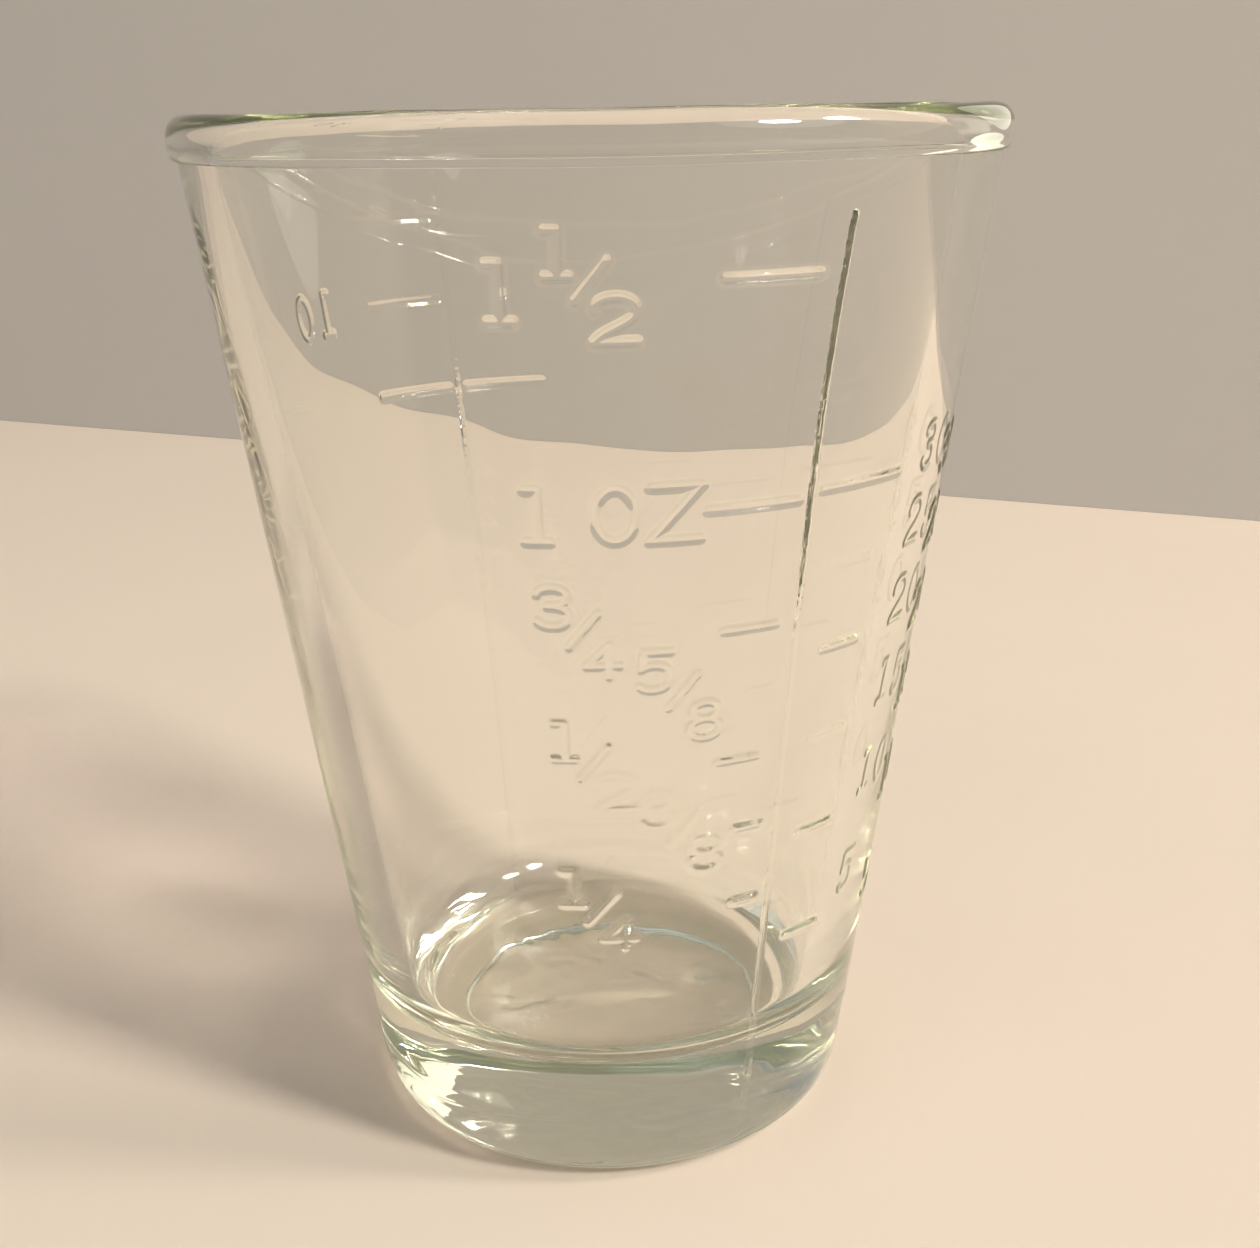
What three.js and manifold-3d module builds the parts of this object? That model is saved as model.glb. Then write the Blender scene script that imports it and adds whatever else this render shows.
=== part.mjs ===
// A pressed-glass measuring glass for 1 1/2 fluid ounces: a tapered cup on a thick solid foot, with a
// fire-polished rim bead and raised scales on the outside (ounces and cubic centimetres in front, drams
// behind). The glass is moulded in one piece; the foot, the wall, the bead and each raised mark are the
// features that the mould gives it, and each one is a mesh here.
//
// Millimetres, +Z up, origin at the centre of the base on the table. Angles round the glass are in degrees:
// 0 faces -Y, and they grow towards +X.

import * as THREE from 'three';
import { mergeVertices } from 'three/addons/utils/BufferGeometryUtils.js';
import Module from 'manifold-3d';

const wasm = await Module();
wasm.setup();

// ---- Driving dimensions ----------------------------------------------------------------------------------

const HEIGHT = 63.0;
const SEGMENTS = 96; // facets round the glass

// Outer cone: radius run down to the table, and radius gained per mm of height.
const OUTER_RADIUS_AT_TABLE = 15.04;
const OUTER_SLOPE = 0.145;

// Inner cone, the same way. The wall is 2.9 mm thick at the foot and 1.8 mm under the bead.
const INNER_RADIUS_AT_TABLE = 11.91;
const INNER_SLOPE = 0.167;

// Foot: solid glass up to the inside floor, a rounded heel, and a shallow hollow under it, so that the
// glass stands on a flat ring.
const FLOOR_HEIGHT = 7.6;
const FLOOR_CORNER = 3.0;
const HEEL_HEIGHT = 3.7;
const STANDING_RADIUS = 12.57;
const HOLLOW_RADIUS = 10.8;
const HOLLOW_DEPTH = 0.5;
const HOLLOW_BEVEL = 0.5;
const FOOT_TOP = FLOOR_HEIGHT + FLOOR_CORNER;

// Rim bead: its underside, its widest radius and the height of that, and the crown of the lip.
const BEAD_BOTTOM = 60.3;
const BEAD_RADIUS = 24.32;
const BEAD_WIDEST = 61.5;
const CROWN_RADIUS = 23.1;
const LIP_DEPTH = 1.1; // how far below the crown the inside rounding starts

// Raised marks: height above the wall, a hair of clearance under them, and the width of each ridge.
const RELIEF = 0.3;
const SEAT_GAP = 0.02;
const STROKE = 0.55;
const LINE_WIDTH = 0.55;
const SEAM_WIDTH = 0.5;

// Mould seams, half a turn apart. The scale lines start beside them.
const FRONT_SEAM = 31.8;
const BACK_SEAM = FRONT_SEAM + 180;
const SEAM_LOW = 4.4;
const SEAM_HIGH = 58.0;
const SEAM_CLEARANCE = 1.4; // degrees between a seam and the end of a long line

// What the scales measure.
const ML_PER_OUNCE = 29.574;
const ML_PER_DRAM = ML_PER_OUNCE / 8;

// Figures: whole numbers and letters, the smaller digits of a fraction, and the slash between them.
const FIGURE = { width: 2.3, height: 3.3 };
const LETTER = { width: 2.6, height: 3.4 };
const SMALL = { width: 2.25, height: 2.7 };
const SLASH = { width: 2.2, height: 2.6 };
const DIGIT = { width: 2.1, height: 3.1 };
const DIGIT_PITCH = 2.75;

// Where the pieces of a fraction sit, in mm right of its left edge and above its line.
const NUMERATOR_AT = [0, 0.5];
const SLASH_AT = [1.6, -0.75];
const DENOMINATOR_AT = [2.8, -2.65];
const WHOLE_TO_FRACTION = 2.9;
const OUNCE_LETTERS_AT = [3.8, 6.9];

// Ounce scale, left of the front seam. `from` and `to` are the ends of the line, `label` is the left edge
// of the figures, and `drop` lowers the figures against the line.
const OUNCE_MARKS = [
  { name: '1_1_2', ounces: 1.5, from: 15.9, whole: '1', fraction: '12', label: -13.5, drop: 0.45 },
  { name: '1', ounces: 1, from: 15.2, whole: '1', letters: 'OZ', label: -10.7 },
  { name: '3_4', ounces: 3 / 4, from: 18.3, to: 28.6, fraction: '34', label: -9.4 },
  { name: '5_8', ounces: 5 / 8, from: 23.5, to: 29.3, fraction: '58', label: 5.4 },
  { name: '1_2', ounces: 1 / 2, from: 18.5, to: 27.5, fraction: '12', label: -8.8 },
  { name: '3_8', ounces: 3 / 8, from: 22.4, to: 29.3, fraction: '38', label: 6 },
  { name: '1_4', ounces: 1 / 4, from: 23.5, to: 29.3, fraction: '14', label: -8.8 },
];

// Cubic centimetre scale, right of the front seam.
const CC_LINE = { from: 36.5, to: 46.5 };
const CC_LONG_LINE_END = 51;
const CC_LABEL = 67.5;
const CC_MARKS = [30, 25, 20, 15, 10, 5];
const CC_LONG_MARK = 30;

// Dram scale, right of the back seam, and the one line left of it.
const DRAM_LINE_SWEEP = 19;
const DRAM_LABEL_OFFSET = 28.5;
const DRAM_LINES = [12, 10, 8];
const DRAM_FIGURES = 10;
const BACK_LINE_SWEEP = 21;

const GLASS_COLOUR = 0xdde2d2;
const GLASS_ROUGHNESS = 0.04;
const GLASS_OPACITY = 0.35;

// ---- The cup's shape -------------------------------------------------------------------------------------

const radians = THREE.MathUtils.degToRad;
const outerRadius = (z) => OUTER_RADIUS_AT_TABLE + OUTER_SLOPE * z;
const innerRadius = (z) => INNER_RADIUS_AT_TABLE + INNER_SLOPE * z;

// Volume of the ring that the rounded floor corner takes from the cup.
const cornerRing = (1 - Math.PI / 4) * FLOOR_CORNER ** 2;
const CORNER_VOLUME = cornerRing * 2 * Math.PI * (innerRadius(FLOOR_HEIGHT) - FLOOR_CORNER / 4);

// Height at which the cup holds a number of millilitres: the inner cone's volume, solved for its top.
function fillHeight(millilitres) {
  const volume = millilitres * 1000 + CORNER_VOLUME;
  const floorCube = innerRadius(FLOOR_HEIGHT) ** 3;
  const topRadius = Math.cbrt(floorCube + (3 * INNER_SLOPE * volume) / Math.PI);
  return (topRadius - INNER_RADIUS_AT_TABLE) / INNER_SLOPE;
}

// ---- Solids ----------------------------------------------------------------------------------------------

// A geometry with only its positions, each shared corner stored once.
function weld(geometry) {
  const plain = geometry.clone();
  plain.deleteAttribute('normal');
  plain.deleteAttribute('uv');
  return mergeVertices(plain, 1e-4);
}

// A closed geometry as a manifold solid, for cutting and joining.
function toSolid(geometry) {
  const welded = weld(geometry);
  const vertProperties = new Float32Array(welded.attributes.position.array);
  const triVerts = new Uint32Array(welded.index.array);
  return new wasm.Manifold(new wasm.Mesh({ numProp: 3, vertProperties, triVerts }));
}

// A manifold solid as a geometry.
function toGeometry(solid) {
  const mesh = solid.getMesh();
  const geometry = new THREE.BufferGeometry();
  geometry.setAttribute('position', new THREE.BufferAttribute(new Float32Array(mesh.vertProperties), 3));
  geometry.setIndex(new THREE.BufferAttribute(new Uint32Array(mesh.triVerts), 1));
  geometry.computeVertexNormals();
  return geometry;
}

// A profile of [radius, height] points turned round +Z.
function turn(points) {
  const profile = points.map((p) => new THREE.Vector2(p.x, p.y));
  return new THREE.LatheGeometry(profile, SEGMENTS).rotateX(Math.PI / 2);
}

// A named mesh in the clear glass, set at a height above the table.
function glassMesh(name, geometry, height = 0) {
  const material = new THREE.MeshStandardMaterial({
    color: GLASS_COLOUR,
    roughness: GLASS_ROUGHNESS,
    metalness: 0,
    transparent: true,
    opacity: GLASS_OPACITY,
  });
  const mesh = new THREE.Mesh(geometry, material);
  mesh.name = name;
  mesh.position.z = height;
  return mesh;
}

// ---- Foot, wall and bead ---------------------------------------------------------------------------------

// The foot, from the hollow under it, round the heel, up the outside and down the rounded floor corner.
function foot() {
  const floorRadius = innerRadius(FLOOR_HEIGHT);
  const path = new THREE.Path();
  path.moveTo(0, HOLLOW_DEPTH);
  path.lineTo(HOLLOW_RADIUS - HOLLOW_BEVEL, HOLLOW_DEPTH);
  path.lineTo(HOLLOW_RADIUS, 0);
  path.lineTo(STANDING_RADIUS, 0);
  path.quadraticCurveTo(OUTER_RADIUS_AT_TABLE, 0, outerRadius(HEEL_HEIGHT), HEEL_HEIGHT);
  path.lineTo(outerRadius(FOOT_TOP), FOOT_TOP);
  path.lineTo(innerRadius(FOOT_TOP), FOOT_TOP);
  path.quadraticCurveTo(floorRadius, FLOOR_HEIGHT, floorRadius - FLOOR_CORNER, FLOOR_HEIGHT);
  path.lineTo(0, FLOOR_HEIGHT);
  return glassMesh('foot', turn(path.getPoints(6)));
}

// The tapered wall, from the top of the foot to the underside of the bead.
function wall() {
  const path = new THREE.Path();
  const rise = BEAD_BOTTOM - FOOT_TOP;
  path.moveTo(innerRadius(FOOT_TOP), 0);
  path.lineTo(outerRadius(FOOT_TOP), 0);
  path.lineTo(outerRadius(BEAD_BOTTOM), rise);
  path.lineTo(innerRadius(BEAD_BOTTOM), rise);
  path.closePath();
  return glassMesh('wall', turn(path.getPoints(1)), FOOT_TOP);
}

// The fire-polished bead: it swells past the wall outside and rounds over into the cup.
function rimBead() {
  const top = HEIGHT - BEAD_BOTTOM;
  const widest = BEAD_WIDEST - BEAD_BOTTOM;
  const wallRadius = outerRadius(BEAD_BOTTOM);
  const lipRadius = innerRadius(HEIGHT - LIP_DEPTH);
  const path = new THREE.Path();
  path.moveTo(innerRadius(BEAD_BOTTOM), 0);
  path.lineTo(wallRadius, 0);
  path.quadraticCurveTo(BEAD_RADIUS, 0, BEAD_RADIUS, widest);
  path.quadraticCurveTo(BEAD_RADIUS, top, CROWN_RADIUS, top);
  path.quadraticCurveTo(lipRadius, top, lipRadius, top - LIP_DEPTH);
  path.closePath();
  return glassMesh('rim_bead', turn(path.getPoints(5)), BEAD_BOTTOM);
}

// ---- Raised marks ----------------------------------------------------------------------------------------

// The thin shell over the outer cone that every raised mark is a piece of.
function makeSkin() {
  const ring = [
    [outerRadius(HEEL_HEIGHT) + SEAT_GAP, HEEL_HEIGHT],
    [outerRadius(HEEL_HEIGHT) + RELIEF, HEEL_HEIGHT],
    [outerRadius(BEAD_BOTTOM) + RELIEF, BEAD_BOTTOM],
    [outerRadius(BEAD_BOTTOM) + SEAT_GAP, BEAD_BOTTOM],
  ].map(([r, z]) => new THREE.Vector2(r, z));
  return toSolid(turn([...ring, ring[0]]));
}

const skin = makeSkin();
const MARK_DEPTH = 3; // length of the blanks that marks are cut from, half inside the wall

// Turns and moves a blank drawn in the XY plane so that it faces out at an angle and a height. A blank that
// leans follows the cone's slope; one that doesn't keeps its edges level.
function placement(angle, height, leans) {
  const turnOut = radians(angle);
  const right = new THREE.Vector3(Math.cos(turnOut), Math.sin(turnOut), 0);
  const outward = new THREE.Vector3(Math.sin(turnOut), -Math.cos(turnOut), 0);
  const up = new THREE.Vector3(0, 0, 1);
  if (leans) up.addScaledVector(outward, OUTER_SLOPE).normalize();
  const normal = new THREE.Vector3().crossVectors(right, up);
  const centre = outward.clone().multiplyScalar(outerRadius(height)).setZ(height);
  centre.addScaledVector(normal, -MARK_DEPTH / 2);
  return new THREE.Matrix4().makeBasis(right, up, normal).setPosition(centre);
}

// The part of the skin that the flat shapes cover when they are pushed out at an angle and a height.
function raise(shapes, angle, height, leans = true) {
  const matrix = placement(angle, height, leans);
  const blanks = shapes.map((shape) => {
    const blank = new THREE.ExtrudeGeometry(shape, {
      depth: MARK_DEPTH,
      bevelEnabled: false,
      curveSegments: 7,
    });
    return toSolid(blank.applyMatrix4(matrix));
  });
  const joined = blanks.reduce((all, next) => all.add(next));
  return toGeometry(skin.intersect(joined));
}

// A rectangle about the origin.
function bar(width, height) {
  const shape = new THREE.Shape();
  shape.moveTo(-width / 2, -height / 2);
  shape.lineTo(width / 2, -height / 2);
  shape.lineTo(width / 2, height / 2);
  shape.lineTo(-width / 2, height / 2);
  shape.closePath();
  return shape;
}

// The mould seam: one ridge from the heel to just under the bead.
function seam(name, angle) {
  const middle = (SEAM_LOW + SEAM_HIGH) / 2;
  const length = (SEAM_HIGH - SEAM_LOW) * Math.hypot(1, OUTER_SLOPE);
  return glassMesh(name, raise([bar(SEAM_WIDTH, length)], angle, middle));
}

// A level scale line between two angles, at the height where the cup holds its volume.
function scaleLine(name, millilitres, from, to) {
  const height = fillHeight(millilitres);
  const halfSweep = radians(to - from) / 2;
  const length = 2 * outerRadius(height) * Math.sin(halfSweep);
  return glassMesh(name, raise([bar(length, LINE_WIDTH)], (from + to) / 2, height, false));
}

// ---- Figures ---------------------------------------------------------------------------------------------

// The outline of one stroke: its centre line moved half a stroke's width to each side, mitred at corners.
function strokeShape(points) {
  const half = STROKE / 2;
  const directions = points.slice(1).map((p, i) => p.clone().sub(points[i]).normalize());
  const sides = points.map((p, i) => {
    const before = directions[Math.max(i - 1, 0)];
    const after = directions[Math.min(i, directions.length - 1)];
    const normal = new THREE.Vector2(-before.y - after.y, before.x + after.x).normalize();
    const mitre = half / Math.max(normal.dot(new THREE.Vector2(-after.y, after.x)), 0.35);
    return {
      left: p.clone().addScaledVector(normal, mitre),
      right: p.clone().addScaledVector(normal, -mitre),
    };
  });
  const left = sides.map((s) => s.left);
  const right = sides.map((s) => s.right).reverse();
  return new THREE.Shape([...left, ...right]);
}

// A ring of one stroke's width round an ellipse.
function ringShape(cx, cy, rx, ry) {
  const half = STROKE / 2;
  const shape = new THREE.Shape();
  shape.absellipse(cx, cy, rx + half, ry + half, 0, 2 * Math.PI);
  const hole = new THREE.Path();
  hole.absellipse(cx, cy, rx - half, ry - half, 0, 2 * Math.PI, true);
  shape.holes.push(hole);
  return shape;
}

// Centre lines of each figure's strokes, on a cell one wide and one high: p moves and draws.
const STROKES = {
  '/': [(p) => p.moveTo(0, 0).lineTo(1, 1)],
  1: [(p) => p.moveTo(0.05, 1).lineTo(0.55, 1).lineTo(0.55, 0), (p) => p.moveTo(0, 0).lineTo(1, 0)],
  2: [
    (p) =>
      p
        .moveTo(0, 0.72)
        .bezierCurveTo(0, 1.1, 1, 1.1, 1, 0.7)
        .bezierCurveTo(1, 0.42, 0.2, 0.3, 0, 0)
        .lineTo(1, 0),
  ],
  3: [
    (p) =>
      p
        .moveTo(0.02, 0.84)
        .bezierCurveTo(0.15, 1.06, 0.95, 1.06, 0.95, 0.77)
        .bezierCurveTo(0.95, 0.57, 0.7, 0.53, 0.35, 0.53),
    (p) =>
      p
        .moveTo(0.35, 0.53)
        .bezierCurveTo(0.75, 0.53, 1, 0.45, 1, 0.26)
        .bezierCurveTo(1, -0.07, 0.15, -0.06, 0, 0.14),
  ],
  4: [(p) => p.moveTo(0.68, 0).lineTo(0.68, 1), (p) => p.moveTo(0.68, 1).lineTo(0, 0.34).lineTo(1, 0.34)],
  5: [
    (p) => p.moveTo(1, 1).lineTo(0.12, 1).lineTo(0.05, 0.56),
    (p) =>
      p
        .moveTo(0.05, 0.56)
        .bezierCurveTo(0.35, 0.72, 1, 0.68, 1, 0.33)
        .bezierCurveTo(1, -0.06, 0.2, -0.08, 0, 0.1),
  ],
  Z: [(p) => p.moveTo(0, 1).lineTo(1, 1).lineTo(0, 0).lineTo(1, 0)],
};

// Ellipses of the figures that are made of rings, on the same cell: centre x and y, radius x and y.
const RINGS = {
  0: [[0.5, 0.5, 0.5, 0.5]],
  O: [[0.5, 0.5, 0.5, 0.5]],
  8: [[0.5, 0.27, 0.5, 0.27], [0.5, 0.77, 0.42, 0.23]],
};

// The flat shapes of one figure, centred on the origin, with its strokes kept inside the size.
function figureShapes(figure, size) {
  const width = size.width - STROKE;
  const height = size.height - STROKE;
  const strokes = (STROKES[figure] ?? []).map((draw) => {
    const centreLine = draw(new THREE.Path()).getPoints(7);
    return strokeShape(centreLine.map((p) => new THREE.Vector2((p.x - 0.5) * width, (p.y - 0.5) * height)));
  });
  const rings = (RINGS[figure] ?? []).map(([cx, cy, rx, ry]) =>
    ringShape((cx - 0.5) * width, (cy - 0.5) * height, rx * width, ry * height),
  );
  return [...strokes, ...rings];
}

// A raised figure whose lower left corner is `right` mm to the right of an angle and at a height.
function figureMesh(name, figure, size, angle, right, bottom) {
  const middle = bottom + size.height / 2;
  const turnRight = THREE.MathUtils.radToDeg((right + size.width / 2) / outerRadius(middle));
  return glassMesh(name, raise(figureShapes(figure, size), angle + turnRight, middle));
}

// A fraction: its first character is the numerator and the rest is the denominator.
function fraction(name, digits, angle, right, height) {
  const [top, bottom] = digits;
  const pieces = [
    [`${name}_numerator`, top, SMALL, NUMERATOR_AT],
    [`${name}_slash`, '/', SLASH, SLASH_AT],
    [`${name}_denominator`, bottom, SMALL, DENOMINATOR_AT],
  ];
  return pieces.map(([piece, figure, size, [x, z]]) =>
    figureMesh(piece, figure, size, angle, right + x, height + z),
  );
}

// ---- Scales ----------------------------------------------------------------------------------------------

// One ounce mark: its line, and its whole number, fraction and unit letters where it has them.
function ounceMark({ name, ounces, from, to, whole, fraction: digits, letters, label, drop = 0 }) {
  const prefix = `ounce_${name}`;
  const millilitres = ounces * ML_PER_OUNCE;
  const height = fillHeight(millilitres) - drop;
  const end = to ?? FRONT_SEAM - SEAM_CLEARANCE;
  const meshes = [scaleLine(`${prefix}_line`, millilitres, from, end)];
  if (whole) {
    meshes.push(figureMesh(`${prefix}_whole`, whole, FIGURE, label, 0, height - FIGURE.height / 2));
  }
  if (digits) {
    meshes.push(...fraction(prefix, digits, label, whole ? WHOLE_TO_FRACTION : 0, height));
  }
  [...(letters ?? '')].forEach((letter, i) => {
    const piece = `${prefix}_letter_${letter}`;
    meshes.push(figureMesh(piece, letter, LETTER, label, OUNCE_LETTERS_AT[i], height - LETTER.height / 2));
  });
  return meshes;
}

// A number on one line, its digits a fixed pitch apart from an angle.
function number(name, value, angle, height) {
  return [...String(value)].map((digit, i) =>
    figureMesh(`${name}_digit_${i + 1}`, digit, DIGIT, angle, i * DIGIT_PITCH, height - DIGIT.height / 2),
  );
}

function ccMark(cc) {
  const isLong = cc === CC_LONG_MARK;
  const from = isLong ? FRONT_SEAM + SEAM_CLEARANCE : CC_LINE.from;
  const to = isLong ? CC_LONG_LINE_END : CC_LINE.to;
  return [scaleLine(`cc_${cc}_line`, cc, from, to), ...number(`cc_${cc}`, cc, CC_LABEL, fillHeight(cc))];
}

function dramScale() {
  const start = BACK_SEAM + SEAM_CLEARANCE;
  const lines = DRAM_LINES.map((drams) =>
    scaleLine(`dram_${drams}_line`, drams * ML_PER_DRAM, start, BACK_SEAM + DRAM_LINE_SWEEP),
  );
  const height = fillHeight(DRAM_FIGURES * ML_PER_DRAM);
  const figures = number(`dram_${DRAM_FIGURES}`, DRAM_FIGURES, BACK_SEAM + DRAM_LABEL_OFFSET, height);
  return [...lines, ...figures];
}

// The only line left of the back seam, level with one ounce.
function backLine() {
  return scaleLine('back_ounce_line', ML_PER_OUNCE, BACK_SEAM - BACK_LINE_SWEEP, BACK_SEAM - SEAM_CLEARANCE);
}

// ---- The glass -------------------------------------------------------------------------------------------

function namedGroup(name, meshes) {
  const group = new THREE.Group();
  group.name = name;
  group.add(...meshes);
  return group;
}

const glass = new THREE.Group();
glass.name = 'measuring_glass';
glass.add(
  namedGroup('cup', [foot(), wall(), rimBead()]),
  namedGroup('seams', [seam('front_seam', FRONT_SEAM), seam('back_seam', BACK_SEAM)]),
  namedGroup('ounce_scale', OUNCE_MARKS.flatMap(ounceMark)),
  namedGroup('cc_scale', CC_MARKS.flatMap(ccMark)),
  namedGroup('back_scale', [...dramScale(), backLine()]),
);

export default glass;
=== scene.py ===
"""Looks of a pressed-glass measuring glass with raised scales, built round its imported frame.

The body of the glass is one closed shell turned from its profile. Every mould seam, scale line and figure is
a soft raised ridge wrapped on the outer cone, in the place of its plain node of the frame.

Metres, +Z up, origin at the centre of the base. Angles round the glass are in radians: 0 faces -Y, and they
grow towards +X.
"""

import logging
import math
from dataclasses import dataclass, field
from enum import Enum
from typing import Any, ClassVar

import bmesh
import bpy
import numpy as np
from mathutils import Euler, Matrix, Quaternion, Vector


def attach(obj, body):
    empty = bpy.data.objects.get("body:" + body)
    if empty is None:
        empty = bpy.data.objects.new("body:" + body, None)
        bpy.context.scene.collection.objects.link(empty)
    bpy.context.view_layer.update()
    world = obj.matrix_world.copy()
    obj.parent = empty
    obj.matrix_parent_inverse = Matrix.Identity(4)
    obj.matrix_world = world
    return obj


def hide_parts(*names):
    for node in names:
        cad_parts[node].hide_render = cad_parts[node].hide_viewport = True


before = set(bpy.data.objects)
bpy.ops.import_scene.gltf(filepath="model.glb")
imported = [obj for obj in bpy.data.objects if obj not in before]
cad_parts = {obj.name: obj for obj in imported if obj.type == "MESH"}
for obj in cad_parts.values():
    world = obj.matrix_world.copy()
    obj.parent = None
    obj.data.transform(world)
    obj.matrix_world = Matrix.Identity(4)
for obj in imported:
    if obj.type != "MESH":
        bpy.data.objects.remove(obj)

LOG = logging.getLogger("measuring_glass")
MM = 0.001
BODY = "root"
STRENGTH = "strength"
FOLD_ANGLE = 1.2  # a sharper fold between faces than this stays a crease
LAMP_AIM_HEIGHT = 30 * MM

# The waves of the glass's surface, which the body and the marks on it share.
WAVE_HEIGHT = 0.2 * MM
WAVE_LENGTH = 12 * MM
WAVE_STRETCH = 0.35  # how far the waves are drawn out up the glass
RIPPLE_HEIGHT = 0.5 * MM
RIPPLE_SQUEEZE = 4.0  # how much shorter the foot's ripples are up the glass than round it
RIPPLES_PER_METRE = 80.0
RIPPLE_GROWTH = (0.3 * MM, 1.5 * MM)  # heights between which the foot's ripples set in
RIPPLE_FADE = (6.5 * MM, 10 * MM)  # and die away

# ---- Node trees ------------------------------------------------------------------------------------------


class Graph:
    """Adds and joins nodes in one shader or geometry tree."""

    def __init__(self, tree: bpy.types.NodeTree) -> None:
        """Keeps the tree that the other methods add to."""
        self.tree = tree

    def add(self, kind: str, inputs: dict[Any, Any] | None = None, **settings: Any) -> bpy.types.Node:
        """Adds a node.

        Args:
            kind: Blender's type name of the node.
            inputs: values or sockets for the node's inputs, by name or index.
            **settings: the node's own properties.

        Returns:
            The new node.
        """
        node = self.tree.nodes.new(kind)
        for name, value in settings.items():
            setattr(node, name, value)
        for key, value in (inputs or {}).items():
            self.feed(node.inputs[key], value)
        return node

    def feed(self, socket: bpy.types.NodeSocket, value: Any) -> None:
        """Links a socket into an input, or sets the input to a plain value.

        Args:
            socket: the input.
            value: an output socket or a value.
        """
        if isinstance(value, bpy.types.NodeSocket):
            self.tree.links.new(value, socket)
        else:
            socket.default_value = value

    def math(self, operation: str, a: Any, b: Any = 0.0, c: Any = 0.0) -> bpy.types.NodeSocket:
        """Adds a Math node.

        Args:
            operation: Blender's name of the operation.
            a: first value or socket.
            b: second value or socket.
            c: third value or socket.

        Returns:
            The result's socket.
        """
        return self.add("ShaderNodeMath", {0: a, 1: b, 2: c}, operation=operation).outputs[0]

    def noise(self, place: Any, scale: Any, detail: float, **more: float) -> bpy.types.NodeSocket:
        """Adds a noise texture.

        Args:
            place: the point that it is read at.
            scale: its rate per metre.
            detail: how many finer layers it has.
            **more: other inputs, by name.

        Returns:
            The noise's socket.
        """
        inputs = {"Vector": place, "Scale": scale, "Detail": detail, **more}
        return self.add("ShaderNodeTexNoise", inputs).outputs["Fac"]

    def stretch(self, place: Any, factors: tuple[float, float, float]) -> bpy.types.NodeSocket:
        """Multiplies a point's x, y and z by three factors."""
        return self.add("ShaderNodeVectorMath", {0: place, 1: factors}, operation="MULTIPLY").outputs[0]

    def split(self, vector: Any) -> list[bpy.types.NodeSocket]:
        """The x, y and z of a vector."""
        return list(self.add("ShaderNodeSeparateXYZ", {0: vector}).outputs)

    def join(self, x: Any = 0.0, y: Any = 0.0, z: Any = 0.0) -> bpy.types.NodeSocket:
        """The vector of an x, a y and a z."""
        return self.add("ShaderNodeCombineXYZ", {0: x, 1: y, 2: z}).outputs[0]

    def clamp_ramp(
        self, value: Any, low: float, high: float, to_low: float, to_high: float
    ) -> bpy.types.NodeSocket:
        """Maps a range smoothly to another and holds its ends.

        Args:
            value: what is mapped.
            low: start of the range.
            high: end of the range.
            to_low: result at the start.
            to_high: result at the end.

        Returns:
            The result's socket.
        """
        inputs = {0: value, 1: low, 2: high, 3: to_low, 4: to_high}
        return self.add("ShaderNodeMapRange", inputs, interpolation_type="SMOOTHSTEP").outputs[0]


class GeometryGraph(Graph):
    """A geometry tree with named inputs, which ends in Realize Instances and Set Material."""

    def __init__(self, name: str) -> None:
        """Makes an empty tree.

        Args:
            name: the tree's name.
        """
        super().__init__(bpy.data.node_groups.new(name, "GeometryNodeTree"))
        self.identifiers: dict[str, str] = {}
        self.input("Geometry", "NodeSocketGeometry")
        self.tree.interface.new_socket("Geometry", in_out="OUTPUT", socket_type="NodeSocketGeometry")
        self.entry: bpy.types.Node | None = None

    def input(self, name: str, kind: str = "NodeSocketFloat", value: float | int | None = None) -> None:
        """Declares an input.

        Args:
            name: the input's name.
            kind: Blender's type name of its socket.
            value: its default.
        """
        item = self.tree.interface.new_socket(name, in_out="INPUT", socket_type=kind)
        if value is not None:
            item.default_value = value
        self.identifiers[name] = item.identifier

    def given(self, name: str) -> bpy.types.NodeSocket:
        """The socket of a declared input."""
        if self.entry is None:
            self.entry = self.add("NodeGroupInput")
        return self.entry.outputs[name]

    def place(self) -> bpy.types.NodeSocket:
        """The place of a point of the mesh."""
        return self.add("GeometryNodeInputPosition").outputs[0]

    def close(self, geometry: bpy.types.NodeSocket) -> None:
        """Ends the tree.

        Args:
            geometry: what the tree has made.
        """
        real = self.add("GeometryNodeRealizeInstances", {0: geometry})
        smooth = self.add("GeometryNodeSetShadeSmooth", {"Geometry": real.outputs[0]})
        angle = self.add("GeometryNodeInputMeshEdgeAngle").outputs[0]
        folded = self.math("GREATER_THAN", angle, FOLD_ANGLE)
        inputs = {"Geometry": smooth.outputs[0], "Selection": folded, "Shade Smooth": False}
        creased = self.add("GeometryNodeSetShadeSmooth", inputs, domain="EDGE")
        inputs = {"Geometry": creased.outputs[0], "Material": self.given("Material")}
        dressed = self.add("GeometryNodeSetMaterial", inputs)
        self.add("NodeGroupOutput", {0: dressed.outputs[0]})

    def run(self, name: str, base: bpy.types.Mesh, values: dict[str, Any]) -> bpy.types.Object:
        """Runs the tree on a base mesh and keeps the result as a plain mesh.

        Args:
            name: the new object's name.
            base: what the tree starts from.
            values: the declared inputs' values, by name.

        Returns:
            An object at the origin with the finished mesh and no modifier.
        """
        source = bpy.data.objects.new(f"{name}_base", base)
        bpy.context.scene.collection.objects.link(source)
        modifier = source.modifiers.new("shape", "NODES")
        modifier.node_group = self.tree
        for key, value in values.items():
            modifier[self.identifiers[key]] = value
        evaluated = source.evaluated_get(bpy.context.evaluated_depsgraph_get())
        mesh = bpy.data.meshes.new_from_object(evaluated)
        bpy.data.objects.remove(source)
        bpy.data.meshes.remove(base)
        turn_faces_out(mesh)
        while mesh.materials[0] is None:
            mesh.materials.pop(index=0)
        mesh.name = name
        made = bpy.data.objects.new(name, mesh)
        bpy.context.scene.collection.objects.link(made)
        return made


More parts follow.
